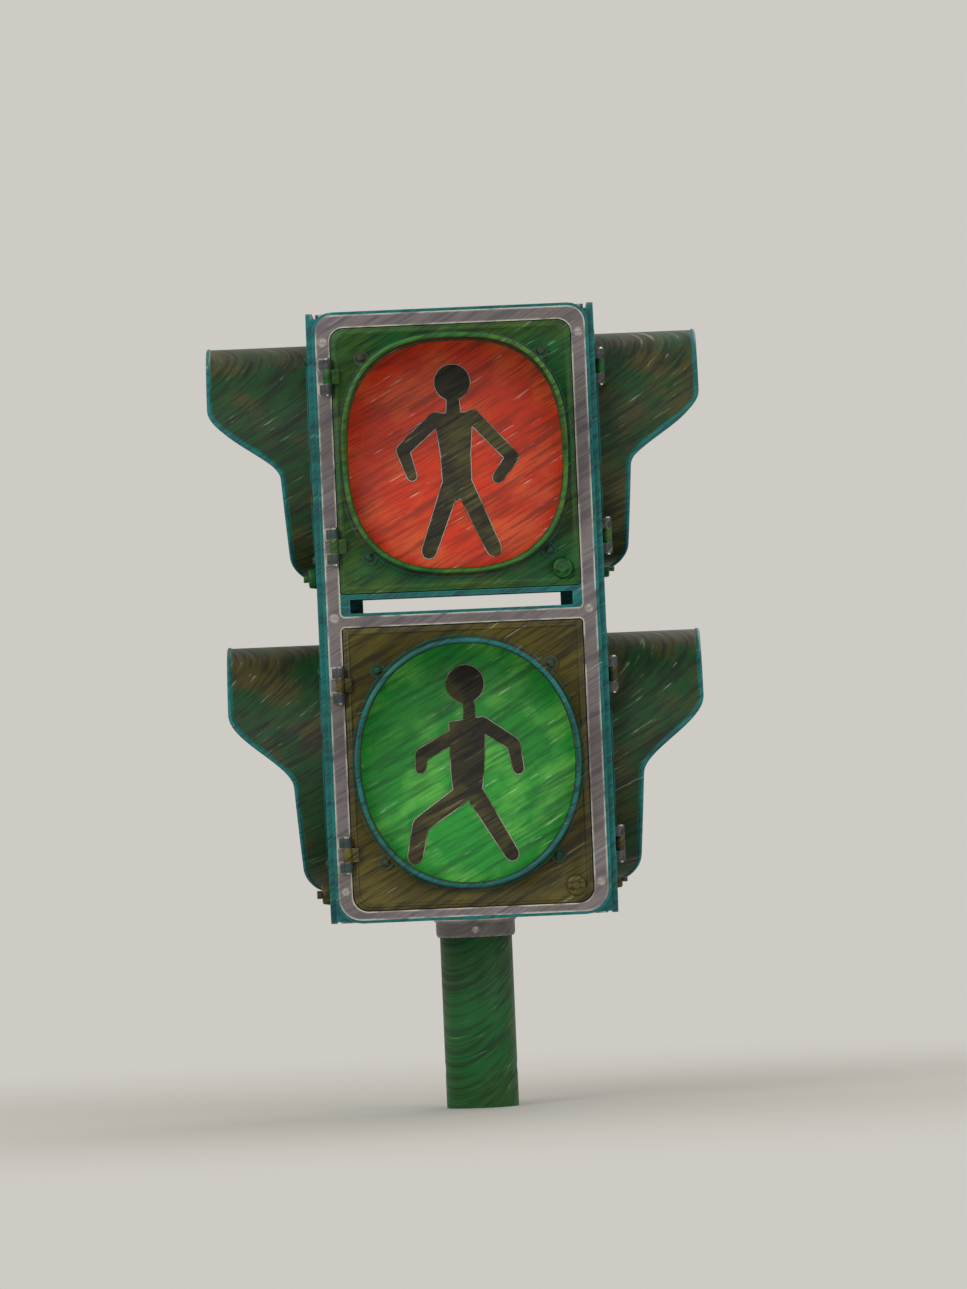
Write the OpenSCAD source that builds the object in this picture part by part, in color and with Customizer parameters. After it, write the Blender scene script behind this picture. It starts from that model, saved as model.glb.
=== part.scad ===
// Three-way pedestrian signal head on a post: red sections above, green sections below,
// one pair each on the front, the left and the right of a square case.
// X runs to the viewer's right, Y away from the viewer, Z up. The origin is the middle of
// the post's open foot. The front face looks along -Y.

/* [Case] */
// Width of each face of the case, over its edge lip
case_w = 276; // [274:1:280]
// Height of the case, over its edge lip
case_h = 612; // [608:1:620]
// Height of the case's underside above the foot of the post
case_z = 194; // [190:1:240]
// Height of the open gap between the two chambers, above the case's underside
gap_at = 317; // [314:1:319]
// Height of the open gap itself
gap_h = 14; // [10:1:16]

/* [Lenses] */
// Width of the lens apertures
lens_w = 215; // [206:1:215]
// Height of the red, squarer aperture
red_lens_h = 228; // [218:1:230]
// Height of the green, rounder aperture
green_lens_h = 240; // [220:1:244]
// How square the red aperture is: 2 is an ellipse
red_squareness = 2.6; // [2:0.1:2.8]
// How square the green aperture is: 2 is an ellipse
green_squareness = 2.1; // [2:0.1:2.4]

/* [Visors] */
// Reach of a red section's visor beyond its door
red_reach = 104; // [80:1:110]
// Reach of a green section's visor beyond its door
green_reach = 96; // [80:1:110]

/* [Post] */
// Outside diameter of the post
post_d = 73; // [70:1:76]
// Wall of the post
post_wall = 3.6; // [3:0.1:4.5]

/* [Hidden] */
FACES = [["front", 0], ["left", -90], ["right", 90]];
SECTIONS = ["red", "green"];
SINGLE_NODES = [
    "post", "mounting_collar", "collar_set_screws", "hub_nipple", "lock_washer", "lock_nut",
    "upper_chamber", "lower_chamber", "front_frame", "left_frame", "right_frame",
    "upper_rear_cover", "lower_rear_cover", "rear_cover_seals", "door_seals", "hinge_pins",
    "reflectors", "lamps", "lamp_holders", "tie_rods", "case_screws", "top_plug",
    "terminal_block", "wiring_loom",
];
DOOR_PIECES = ["door", "visor", "lens", "figure", "lens_seal", "latch"];

$fn = 48;
eps = 0.01;

// Case, measured outwards from the vertical axis (depth d) and upwards (z)
half = case_w / 2;
lip_h = 6;             // the flanges stand this far out of the case's core
face_d = half + lip_h; // plane of the frames' faces
wall = 12;
cavity = half - wall;
lip_t = 3;             // width of the lip round a frame
rail = 14;             // width of a frame's side rails
frame_t = 3.5;
window = half - lip_t - rail; // half the width of a frame's window
ledge = window - 7.5;         // half the width of the opening behind a door
ledge_d = face_d - 12.5;      // a door seal lies on this plane
column = ledge;               // the corner columns start here
case_top = case_z + case_h;
roof_z = case_top - 6;
base_z = case_z + 2;
joint_z = case_z + gap_at;
gap_z = [joint_z - gap_h / 2, joint_z + gap_h / 2];
gap_half = window - 9.5;
plate = 5;
corner_top = 20;
corner_bottom = 26;
rod_at = half - 11;
rod_r = 4;
conduit = [half - 30, half - 20, 4.8]; // the wire ways between the chambers: x, y, radius
rear_opening = ledge - 8;

// Sections: index 0 is red, 1 is green
win = [[gap_z[1] + plate, case_top - 16], [case_z + 11.5, gap_z[0] - 14]];
lens_z = [for (w = win) (w[0] + w[1]) / 2 + 2.5];
lens_half = [[lens_w / 2, red_lens_h / 2], [lens_w / 2, green_lens_h / 2]];
squareness = [red_squareness, green_squareness];
reach = [red_reach, green_reach];
win_r = [[14, 4], [4, 16]];    // window corner radii, at the top and at the bottom
chamber = [[joint_z, roof_z], [base_z, joint_z]];
room = [[gap_z[1] + plate, roof_z - plate], [base_z + plate, gap_z[0] - plate]];

// Doors
door_gap = 1;
door_front = face_d - 1;
door_t = 9.5;
door_back = door_front - door_t;
door_w = window - door_gap;
hinge_u = -window - 3;
hinge_d = face_d + 5;
hinge_r = 4.5;
pin_r = 2.5;
hinge_rise = 85;       // hinges stand this far above and below a door's middle
knuckle = 14;
side_knuckle = 10;
play = 0.4;
latch_u = window - 18.5;
latch_up = 17;         // height of a latch above its door's lower edge
spindle_r = 4;
tongue = [15, 9, 3];   // length, width and thickness of a latch's tongue
tongue_d = cavity - 0.5;

// Lens: a shallow dome with a flange held in a rubber channel
dome_r = 1100;
dome_d = door_front + 3;
lens_t = 3;
flange_d = [door_back + 2, door_back + 5];
flange_out = 2.8;
seal_out = 4.3;
seal_d = [door_back + 0.3, door_front - 3.1];
rebate_out = 4.5;
rebate_d = door_front - 3;

// Visor
visor_gap = 1.5;
visor_t = 2.5;
visor_flange = 9;
lug_out = 13;
lug_r = 7.5;
visor_screw_r = 2.2;

// Reflector and lamp, measured from the vertical axis
bowl_r = 104;
bowl_d = [53, 128];
bowl_t = 1.5;
lamp_r = 26;
lamp_d = 90;
socket_r = 16.5;
socket_d = [28, 57];

// Post head
post_r = post_d / 2;
post_top = case_z - 10;
collar_z = [case_z - 21, case_z - 3];
collar_r = 40;
nipple_r = 24;
nipple_hole = 20.5;
nipple_top = base_z + 26;
boss_r = 43;

// Fixings
case_screw_r = 2;
screw_u = window + rail / 2;
frame_screw_z = [case_z + 32, joint_z - 11, case_top - 30];
cover_screw_x = ledge - 3;

function arc(x, y, r, from, to, n = 6) =
    [for (i = [0 : n]) let (a = from + (to - from) * i / n) [x + r * cos(a), y + r * sin(a)]];

// Upright panel of half width w between two heights, with rounded corners
function panel(w, z0, z1, r1, r0) = concat(
    arc(w - r1, z1 - r1, r1, 0, 90), arc(-w + r1, z1 - r1, r1, 90, 180),
    arc(-w + r0, z0 + r0, r0, 180, 270), arc(w - r0, z0 + r0, r0, 270, 360)
);

// Distance from the middle to a lens outline grown by g, in direction a
function lens_radius(s, g, a) = pow(
    pow(abs(cos(a)) / (lens_half[s][0] + g), squareness[s])
    + pow(abs(sin(a)) / (lens_half[s][1] + g), squareness[s]),
    -1 / squareness[s]
);

function lens_outline(s, g) = [
    for (i = [0 : 71]) let (a = i * 5, r = lens_radius(s, g, a)) [r * cos(a), lens_z[s] + r * sin(a)]
];

function smooth(t) = let (c = max(0, min(1, t))) c * c * (3 - 2 * c);

// How far a visor reaches out at a share f of its height, counted from the top
function visor_reach(s, f) =
    let (low = 42 - 16 * f, cut = low + (reach[s] - low) * (1 - smooth((f - 0.27) / 0.3)))
    max(4, cut * (f > 0.9 ? sqrt(max(0, 1 - pow((f - 0.9) / 0.1, 2))) : 1));

module on_face(turn) rotate([0, 0, turn]) children();

// Extrudes a shape drawn in a face's own plane, from one depth to another
module slab(d0, d1) rotate([90, 0, 0]) translate([0, 0, d0]) linear_extrude(d1 - d0) children();

// Round bar square to a face
module peg(u, z, d0, d1, r, r_end = -1)
    rotate([90, 0, 0]) translate([u, z, d0]) cylinder(r1 = r, r2 = r_end < 0 ? r : r_end, h = d1 - d0);

// Upright round bar in front of a face
module upright(u, d, z0, z1, r) translate([u, -d, z0]) cylinder(r = r, h = z1 - z0);

// Block in a face's own frame
module block(u0, u1, d0, d1, z0, z1) translate([u0, -d1, z0]) cube([u1 - u0, d1 - d0, z1 - z0]);

module box_about(x, y, z0, z1) translate([-x, -y, z0]) cube([2 * x, 2 * y, z1 - z0]);

// Tube of flat sides swept along a path of points
lead_sides = 8;
function unit(v) = v / norm(v);

function heading(path, i) = unit(
    unit(path[min(i + 1, len(path) - 1)] - path[min(i, len(path) - 2)])
    + unit(path[max(i, 1)] - path[max(i - 1, 0)])
);

function ring(at, along, r) =
    let (a = unit(cross(along, [0.3, 0.9, 0.1])), b = cross(along, a))
    [for (k = [0 : lead_sides - 1]) at + r * (cos(360 * k / lead_sides) * a + sin(360 * k / lead_sides) * b)];

module lead(path, r) {
    last = (len(path) - 1) * lead_sides;
    polyhedron(
        points = [for (i = [0 : len(path) - 1]) each ring(path[i], heading(path, i), r)],
        faces = concat(
            [[for (k = [0 : lead_sides - 1]) k]],
            [for (i = [0 : lead_sides : last - 1], k = [0 : lead_sides - 1])
                [i + k, i + lead_sides + k, i + lead_sides + (k + 1) % lead_sides, i + (k + 1) % lead_sides]],
            [[for (k = [lead_sides - 1 : -1 : 0]) last + k]]
        )
    );
}

// ---------- case ----------

module frame_shape() difference() {
    polygon(panel(
        half - lip_t, case_z + lip_t, case_top - lip_t, corner_top - lip_t, corner_bottom - lip_t
    ));
    polygon(panel(window, gap_z[0] - 3, win[0][1], win_r[0][0], win_r[0][1]));
    polygon(panel(window, win[1][0], win[1][1], win_r[1][0], win_r[1][1]));
}

module conduits(r_square) for (side = [-1, 1])
    translate([side * conduit[0] - r_square, conduit[1] - r_square, gap_z[0] - eps])
        cube([2 * r_square, 2 * r_square, gap_h + 2 * eps]);

module gap_cut() difference() {
    union() {
        box_about(gap_half, face_d + 1, gap_z[0], gap_z[1]);
        box_about(face_d + 1, gap_half, gap_z[0], gap_z[1]);
    }
    conduits(conduit[2] + 2);
}

// What both chambers lose: room inside, door pockets, frame seats and holes
module chamber_cuts(s) {
    box_about(cavity, column, room[s][0], room[s][1]);
    box_about(column, cavity, room[s][0], room[s][1]);
    gap_cut();
    for (f = FACES) on_face(f[1]) {
        slab(ledge_d, face_d + 1) polygon(panel(window, win[s][0], win[s][1], win_r[s][0], win_r[s][1]));
        slab(column, face_d) polygon(panel(ledge, win[s][0] + 8, win[s][1] - 8, 4, 4));
        slab(face_d - frame_t, face_d + 1) frame_shape();
        for (side = [-1, 1], z = frame_screw_z) peg(side * screw_u, z, face_d - 12, face_d, case_screw_r);
    }
    translate([-rear_opening, column, win[s][0] + 10])
        cube([2 * rear_opening, half, win[s][1] - win[s][0] - 20]);
    for (x = [-1, 1], z = cover_screw_z(s)) peg_back(x * cover_screw_x, z, half - 7, half + 1, case_screw_r);
    for (x = [-1, 1], y = [-1, 1]) translate([x * rod_at, y * rod_at, case_z - 1])
        cylinder(r = rod_r + 0.5, h = case_h + 2);
    for (x = [-1, 1]) translate([x * conduit[0], conduit[1], gap_z[0] - plate - 1])
        cylinder(r = conduit[2], h = gap_h + 2 * plate + 2);
}

function cover_screw_z(s) = [win[s][0] + 14, (win[s][0] + win[s][1]) / 2, win[s][1] - 14];

module peg_back(x, z, d0, d1, r, r_end = -1) rotate([0, 0, 180]) peg(-x, z, d0, d1, r, r_end);

module upper_chamber() color("darkslategray") difference() {
    union() {
        box_about(half, half, chamber[0][0], chamber[0][1]);
        for (f = FACES) on_face(f[1]) slab(half - eps, face_d)
            polygon(panel(half, joint_z, case_top, corner_top, 0.5));
    }
    chamber_cuts(0);
    translate([0, 0, roof_z - plate - 1]) cylinder(r = 20, h = plate + 2);
}

module lower_chamber() color("darkslategray") difference() {
    union() {
        box_about(half, half, chamber[1][0], chamber[1][1]);
        for (f = FACES) on_face(f[1]) slab(half - eps, face_d)
            polygon(panel(half, case_z, joint_z, 0.5, corner_bottom));
        translate([0, 0, collar_z[1]])
            cylinder(r1 = boss_r, r2 = boss_r + 20, h = base_z - collar_z[1] + eps);
    }
    chamber_cuts(1);
    translate([0, 0, collar_z[1] - 1]) cylinder(r = nipple_r + 0.05, h = plate + 12);
}

module face_frame(turn) color("slategray") on_face(turn) difference() {
    union() {
        slab(face_d - frame_t, face_d) frame_shape();
        for (s = [0, 1], h = [-1, 1], k = [-1, 1]) {
            z = hinge_z(s, h) + k * (knuckle / 2 + play + side_knuckle / 2);
            upright(hinge_u, hinge_d, z - side_knuckle / 2, z + side_knuckle / 2, hinge_r);
            block(hinge_u - 8.5, hinge_u, face_d - eps, hinge_d, z - side_knuckle / 2, z + side_knuckle / 2);
        }
    }
    for (s = [0, 1], h = [-1, 1])
        upright(hinge_u, hinge_d, hinge_z(s, h) - 25, hinge_z(s, h) + 25, pin_r);
    for (side = [-1, 1], z = frame_screw_z) {
        peg(side * screw_u, z, face_d - frame_t - 1, face_d + 1, case_screw_r + 0.1);
        peg(side * screw_u, z, face_d - 2.2, face_d + 0.1, 1.9, 4.2);
    }
}

function door_mid(s) = (win[s][0] + win[s][1]) / 2;
function hinge_z(s, h) = door_mid(s) + h * hinge_rise;

module hinge_pins() color("silver") for (f = FACES, s = [0, 1], h = [-1, 1]) on_face(f[1]) {
    reach_up = knuckle / 2 + play + side_knuckle;
    upright(hinge_u, hinge_d, hinge_z(s, h) - reach_up - 1.5, hinge_z(s, h) + reach_up, pin_r - 0.02);
    upright(hinge_u, hinge_d, hinge_z(s, h) + reach_up, hinge_z(s, h) + reach_up + 1.5, 3.6);
}

module rear_cover(s) color("darkgreen") difference() {
    union() {
        rotate([0, 0, 180]) slab(half + 1.5, half + 5)
            polygon(panel(window - 1, win[s][0] + 4, win[s][1] - 4, 8, 8));
        rotate([0, 0, 180]) slab(half + 5 - eps, half + 8)
            polygon(panel(rear_opening - 14, win[s][0] + 26, win[s][1] - 26, 12, 12));
    }
    for (x = [-1, 1], z = cover_screw_z(s))
        peg_back(x * cover_screw_x, z, half, half + 6, case_screw_r + 0.2);
}

module rear_cover_seals() color("black") for (s = [0, 1]) rotate([0, 0, 180]) difference() {
    slab(half, half + 1.5) difference() {
        polygon(panel(window - 2, win[s][0] + 5, win[s][1] - 5, 7, 7));
        polygon(panel(rear_opening, win[s][0] + 10, win[s][1] - 10, 1, 1));
    }
    for (x = [-1, 1], z = cover_screw_z(s)) peg(x * cover_screw_x, z, half - 1, half + 3, case_screw_r + 0.2);
}

module case_screws() color("silver") {
    for (f = FACES, side = [-1, 1], z = frame_screw_z) on_face(f[1]) {
        peg(side * screw_u, z, face_d - 11, face_d - 2, case_screw_r - 0.02);
        peg(side * screw_u, z, face_d - 2.1, face_d, 1.9, 3.9);
    }
    for (s = [0, 1], x = [-1, 1], z = cover_screw_z(s)) {
        peg_back(x * cover_screw_x, z, half - 6, half + 5.1, case_screw_r - 0.02);
        peg_back(x * cover_screw_x, z, half + 5, half + 8, 4, 3.4);
    }
}

module tie_rods() color("silver") for (x = [-1, 1], y = [-1, 1]) translate([x * rod_at, y * rod_at, 0]) {
    translate([0, 0, base_z - 1]) cylinder(r = rod_r, h = roof_z - base_z + 3);
    translate([0, 0, base_z - 1.5]) cylinder(r = 7, h = 1.5);
    translate([0, 0, roof_z]) cylinder(r = 7.2, h = 4.5, $fn = 6);
}

module top_plug() color("darkgreen") {
    translate([0, 0, roof_z]) cylinder(r1 = 27, r2 = 24, h = 4);
    translate([0, 0, roof_z - plate - 6]) cylinder(r = 19.9, h = plate + 6 + eps);
    translate([0, 0, roof_z - plate - 6]) cylinder(r = 23, h = 5.9);
}

module door_seals() color("black") for (f = FACES, s = [0, 1]) on_face(f[1])
    slab(ledge_d, door_back) difference() {
        polygon(panel(door_w - 0.5, win[s][0] + 1.5, win[s][1] - 1.5, win_r[s][0] - 2, win_r[s][1] - 2));
        polygon(panel(ledge + 0.5, win[s][0] + 7.5, win[s][1] - 7.5, 4.5, 4.5));
    }

// ---------- one section: door, lens, visor, latch ----------

module door(s) color("darkgreen") difference() {
    union() {
        slab(door_back, door_front) polygon(panel(
            door_w, win[s][0] + door_gap, win[s][1] - door_gap, win_r[s][0] - 1, win_r[s][1] - 1
        ));
        for (h = [-1, 1]) {
            z0 = hinge_z(s, h) - knuckle / 2;
            z1 = hinge_z(s, h) + knuckle / 2;
            upright(hinge_u, hinge_d, z0, z1, hinge_r);
            block(hinge_u, hinge_u + 11, face_d + 0.6, hinge_d + 1, z0, z1);
            block(-door_w + 0.5, hinge_u + 11, door_front - eps, hinge_d + 1, z0, z1);
        }
    }
    slab(door_back - 1, door_front + 1) polygon(lens_outline(s, 0));
    slab(door_back - 1, rebate_d) polygon(lens_outline(s, rebate_out));
    for (h = [-1, 1]) upright(hinge_u, hinge_d, hinge_z(s, h) - 10, hinge_z(s, h) + 10, pin_r + 0.05);
    peg(latch_u, latch_z(s), door_back - 1, door_front + 1, spindle_r + 0.05);
    for (a = lug_angles) visor_lug(s, a, door_front - 5, door_front + 1, visor_screw_r - 0.3);
}

function latch_z(s) = win[s][0] + door_gap + latch_up;
lug_angles = [48, 132, 228, 312];

module visor_lug(s, a, d0, d1, r) {
    at = lens_radius(s, lug_out, a);
    peg(at * cos(a), lens_z[s] + at * sin(a), d0, d1, r);
}

module visor(s) color("darkgreen") difference() {
    top = lens_half[s][1] + visor_gap + visor_t + 1;
    union() {
        intersection() {
            slab(door_front, door_front + reach[s] + 1) difference() {
                polygon(lens_outline(s, visor_gap + visor_t));
                polygon(lens_outline(s, visor_gap));
            }
            rotate([0, 0, -90]) rotate([90, 0, 0]) linear_extrude(2 * half, center = true) polygon(concat(
                [[door_front - 1, lens_z[s] - top], [door_front - 1, lens_z[s] + top]],
                [for (i = [0 : 36]) [door_front + visor_reach(s, i / 36), lens_z[s] + top * (1 - i / 18)]]
            ));
        }
        slab(door_front, door_front + 2.5) difference() {
            polygon(lens_outline(s, visor_flange));
            polygon(lens_outline(s, visor_gap));
        }
        for (a = lug_angles) visor_lug(s, a, door_front, door_front + 2.5, lug_r);
    }
    for (a = lug_angles) visor_lug(s, a, door_front - 1, door_front + 4, visor_screw_r);
}

module dome_shell(s, out, t) translate([0, dome_r - dome_d, lens_z[s]]) difference() {
    sphere(r = dome_r + out, $fn = 240);
    sphere(r = dome_r + out - t, $fn = 240);
}

module lens(s) color(s == 0 ? "orangered" : "limegreen") union() {
    intersection() {
        slab(door_back, dome_d + 5) polygon(lens_outline(s, -0.5));
        dome_shell(s, 0, lens_t);
    }
    slab(flange_d[0], flange_d[1]) difference() {
        polygon(lens_outline(s, flange_out));
        polygon(lens_outline(s, -1.5));
    }
}

module lens_seal(s) color("black") difference() {
    slab(seal_d[0], seal_d[1]) difference() {
        polygon(lens_outline(s, seal_out));
        polygon(lens_outline(s, -0.3));
    }
    slab(flange_d[0], flange_d[1]) polygon(lens_outline(s, flange_out));
}

// One flat shape of a figure, thick enough to reach through the lens
module cutout(points) slab(door_back, dome_d + 5) polygon(points);

module dot(x, y, r) cutout(arc(x, y, r, 15, 375, 24));

// Straight limb with round ends, wider at one end
module limb(p, q, r_p, r_q) {
    a = atan2(q[1] - p[1], q[0] - p[0]);
    cutout(concat(arc(q[0], q[1], r_q, a - 90, a + 90), arc(p[0], p[1], r_p, a + 90, a + 270)));
}

// Standing walker, arms away from the body and feet apart
module standing_walker() {
    dot(0, 72, 18.5);
    limb([0, 58], [0, 38], 6.5, 8);
    cutout([[-20, 42], [20, 42], [16, 0], [16, -30], [0, -48], [-14, -30], [-15, 0]]);
    limb([-18, 36], [-52, 6], 7.5, 7);
    limb([-52, 6], [-44, -20], 7, 5.5);
    limb([19, 37], [57, -5], 7.5, 7);
    limb([57, -5], [42, -25], 7, 6);
    limb([-6, -32], [-30, -96], 9.5, 8);
    limb([8, -32], [35, -96], 9.5, 8);
}

// Walker in mid stride
module striding_walker() {
    dot(0, 79, 19.5);
    limb([3, 62], [3, 42], 5.5, 7);
    cutout([[-18, 42], [18, 46], [18, 20], [14, -24], [8, -38], [-16, -36], [-18, -10]]);
    limb([-15, 26], [-46, 10], 7.5, 7);
    limb([-46, 10], [-48, -4], 7, 5.5);
    limb([16, 38], [46, 17], 7.5, 7);
    limb([46, 17], [50, -8], 7, 6);
    limb([-6, -30], [-50, -60], 9.5, 8.5);
    limb([-50, -60], [-57, -92], 8.5, 8);
    limb([6, -32], [40, -93], 9.5, 7.5);
}

module figure(s) color("black") intersection() {
    translate([0, 0, lens_z[s]]) {
        if (s == 0) standing_walker();
        else striding_walker();
    }
    dome_shell(s, 1, 1);
}

module latch(s) color("black") {
    z = latch_z(s);
    peg(latch_u, z, tongue_d, door_front + 1.5, spindle_r);
    peg(latch_u, z, door_front + 0.3, door_front + 9, 10.5, 9.5);
    block(latch_u - 9, latch_u + 9, door_front + 9 - eps, door_front + 14, z - 2.5, z + 2.5);
    peg(latch_u, z, tongue_d - tongue[2], tongue_d + eps, 6);
    block(latch_u - tongue[0], latch_u, tongue_d - tongue[2], tongue_d, z - tongue[1] / 2, z + tongue[1] / 2);
}

module reflectors() color("silver") for (f = FACES, s = [0, 1]) on_face(f[1]) {
    deep = bowl_d[1] - bowl_d[0];
    neck = 17;
    steps = 14;
    inner = [for (i = [0 : steps]) let (r = neck + (bowl_r - neck) * i / steps)
        [r, bowl_d[0] + deep * pow(r / bowl_r, 2)]];
    outer = [for (i = [steps : -1 : 0]) let (r = neck + (bowl_r - neck) * i / steps)
        [r + bowl_t, bowl_d[0] + deep * pow(r / bowl_r, 2) - bowl_t]];
    rotate([90, 0, 0]) translate([0, lens_z[s], 0]) rotate_extrude()
        polygon(concat(inner, [[bowl_r + 4, bowl_d[1]], [bowl_r + 4, bowl_d[1] - bowl_t]], outer));
    for (end = [win[s][0] + 3, win[s][1] - 3]) {
        root = lens_z[s] + sign(end - lens_z[s]) * (bowl_r - 1);
        block(-12, 12, cavity - 2, cavity, min(end, root), max(end, root));
    }
}

module lamps() color("white") for (f = FACES, s = [0, 1]) on_face(f[1])
    rotate([90, 0, 0]) translate([0, lens_z[s], 0]) {
        translate([0, 0, 36]) cylinder(r = 12.4, h = 22);
        translate([0, 0, 58 - eps]) cylinder(r1 = 12.4, r2 = 20, h = 16);
        translate([0, 0, lamp_d]) sphere(r = lamp_r);
    }

module lamp_holders() color("dimgray") for (f = FACES, s = [0, 1]) on_face(f[1]) difference() {
    union() {
        peg(0, lens_z[s], socket_d[0], socket_d[1], socket_r);
        peg(0, lens_z[s], socket_d[1] - 8, socket_d[1] - 5, socket_r + 5);
    }
    peg(0, lens_z[s], 34, socket_d[1] + 1, 12.5);
}

// ---------- wiring ----------

block_z = lens_z[1] + 8;
riser = [-conduit[0], conduit[1]];
trunk_r = 3;
branch_r = 1.8;

module terminal_block() color("ivory") {
    translate([-column, cavity - 12, block_z - 17]) cube([2 * column, 2, 34]);
    difference() {
        translate([-62, cavity - 36, block_z - 12]) cube([124, 24 + eps, 24]);
        for (i = [0 : 7], h = [-1, 1])
            peg(15 * i - 52.5, block_z + 5 * h, 30 - cavity, 38 - cavity, 2.2);
    }
}

// One trunk from the block to each section's splice, and a branch from there to each lamp holder
module wiring_loom() color("black") {
    lead([[-50, cavity - 24, block_z + 12], [-50, cavity - 24, block_z + 60],
          [riser[0], riser[1] - 4, block_z + 90], [riser[0], riser[1], gap_z[0] - 12],
          [riser[0], riser[1], gap_z[1] + 12], [-40, 60, lens_z[0] - 42], [-20, 3, lens_z[0] - 36]], trunk_r);
    lead([[-35, cavity - 24, block_z + 12], [-35, cavity - 24, block_z + 24], [-32, 74, block_z + 20],
          [-28, 60, lens_z[1] - 20], [-20, 3, lens_z[1] - 36]], trunk_r);
    for (s = [0, 1]) {
        translate([-20, 0, lens_z[s] - 41]) cylinder(r = 8, h = 14);
        for (toward = [[0, -1], [-1, 0], [1, 0]])
            lead([[4 * toward[0] - 20, 4 * toward[1], lens_z[s] - 30],
                  [8 * toward[0], 8 * toward[1], lens_z[s] - 8],
                  [14 * toward[0], 14 * toward[1], lens_z[s]],
                  [socket_d[0] * toward[0], socket_d[0] * toward[1], lens_z[s]]], branch_r);
    }
}

// ---------- post ----------

module post() color("darkgreen") difference() {
    cylinder(r = post_r, h = post_top);
    translate([0, 0, -1]) cylinder(r = post_r - post_wall, h = post_top + 2);
    translate([-post_r - 1, 0, 40]) rotate([0, 90, 0]) cylinder(r = 5.5, h = post_d + 2);
}

module mounting_collar() color("slategray") difference() {
    union() {
        translate([0, 0, collar_z[0]]) cylinder(r1 = collar_r - 1.5, r2 = collar_r, h = 3);
        translate([0, 0, collar_z[0] + 3 - eps]) cylinder(r = collar_r, h = 12);
        translate([0, 0, collar_z[0] + 15 - 2 * eps])
            cylinder(r1 = collar_r, r2 = boss_r, h = collar_z[1] - collar_z[0] - 15);
    }
    translate([0, 0, collar_z[0] - 1]) cylinder(r = post_r + 0.05, h = post_top - collar_z[0] + 1);
    translate([0, 0, collar_z[0] - 1]) cylinder(r = nipple_r, h = 40);
    for (a = [30, 150, 270]) rotate([0, 0, a]) translate([post_r - 1, 0, collar_z[0] + 8])
        rotate([0, 90, 0]) cylinder(r = 3, h = 12);
}

module collar_set_screws() color("silver") for (a = [30, 150, 270])
    rotate([0, 0, a]) translate([post_r + 0.1, 0, collar_z[0] + 8]) rotate([0, 90, 0]) difference() {
        cylinder(r = 2.98, h = 4.6);
        translate([0, 0, 2.4]) cylinder(r = 1.7, h = 4, $fn = 6);
    }

module hub_nipple() color("silver") difference() {
    translate([0, 0, post_top]) cylinder(r = nipple_r - 0.02, h = nipple_top - post_top);
    translate([0, 0, post_top - 1]) cylinder(r = nipple_hole, h = nipple_top - post_top + 2);
}

module lock_washer() color("silver") difference() {
    translate([0, 0, base_z + plate]) cylinder(r = 36, h = 2.5);
    translate([0, 0, base_z]) cylinder(r = nipple_r + 0.1, h = 12);
}

module lock_nut() color("silver") difference() {
    translate([0, 0, base_z + plate + 2.5]) cylinder(r = 37, h = 11, $fn = 6);
    translate([0, 0, base_z]) cylinder(r = nipple_r, h = 30);
}

post();
mounting_collar();
collar_set_screws();
hub_nipple();
lock_washer();
lock_nut();
upper_chamber();
lower_chamber();
rear_cover(0);  // upper_rear_cover
rear_cover(1);  // lower_rear_cover
rear_cover_seals();
door_seals();
hinge_pins();
reflectors();
lamps();
lamp_holders();
tie_rods();
case_screws();
top_plug();
terminal_block();
wiring_loom();
for (f = FACES) face_frame(f[1]);
for (s = [0, 1], f = FACES) {
    section = str(SECTIONS[s], "_", f[0], "_");
    on_face(f[1]) door(s);
    on_face(f[1]) visor(s);
    on_face(f[1]) lens(s);
    on_face(f[1]) figure(s);
    on_face(f[1]) lens_seal(s);
    on_face(f[1]) latch(s);
}
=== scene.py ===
import math

import bmesh
import bpy
from mathutils import Matrix, Vector


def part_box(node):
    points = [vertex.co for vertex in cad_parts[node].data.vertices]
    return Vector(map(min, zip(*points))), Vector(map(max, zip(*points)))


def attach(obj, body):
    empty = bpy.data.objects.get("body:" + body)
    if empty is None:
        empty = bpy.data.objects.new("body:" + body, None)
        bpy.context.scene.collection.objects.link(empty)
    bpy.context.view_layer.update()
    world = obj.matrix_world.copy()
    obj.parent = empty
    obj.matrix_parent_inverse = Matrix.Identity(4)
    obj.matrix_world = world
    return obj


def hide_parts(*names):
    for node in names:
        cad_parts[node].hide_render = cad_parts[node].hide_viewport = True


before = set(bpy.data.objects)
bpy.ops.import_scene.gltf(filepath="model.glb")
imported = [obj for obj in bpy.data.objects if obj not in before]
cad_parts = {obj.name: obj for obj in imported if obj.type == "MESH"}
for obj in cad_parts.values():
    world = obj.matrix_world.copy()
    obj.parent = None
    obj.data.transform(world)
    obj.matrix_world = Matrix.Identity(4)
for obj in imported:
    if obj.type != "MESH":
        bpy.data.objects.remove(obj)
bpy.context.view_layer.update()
MM = 0.001


# ---------------------------------------------------------------- studio
# A pale room without corners: a round floor that melts into the surrounding light, three large soft
# lamps, and a long lens square to the front face, tipped a little to one side.
def chart(red, green, blue):
    """A colour off a paint chart, 0 to 255 each, as linear light."""
    steps = (red / 255, green / 255, blue / 255)
    return tuple(s / 12.92 if s < 0.04 else ((s + 0.055) / 1.055) ** 2.4 for s in steps) + (1.0,)


ROOM = chart(206, 203, 197)
bpy.context.scene.view_settings.view_transform = "Standard"
room = bpy.data.worlds.new("pale_room")
bpy.context.scene.world = room
room.use_nodes = True
room.node_tree.nodes["Background"].inputs["Color"].default_value = ROOM
room.node_tree.nodes["Background"].inputs["Strength"].default_value = 1.0

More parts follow.
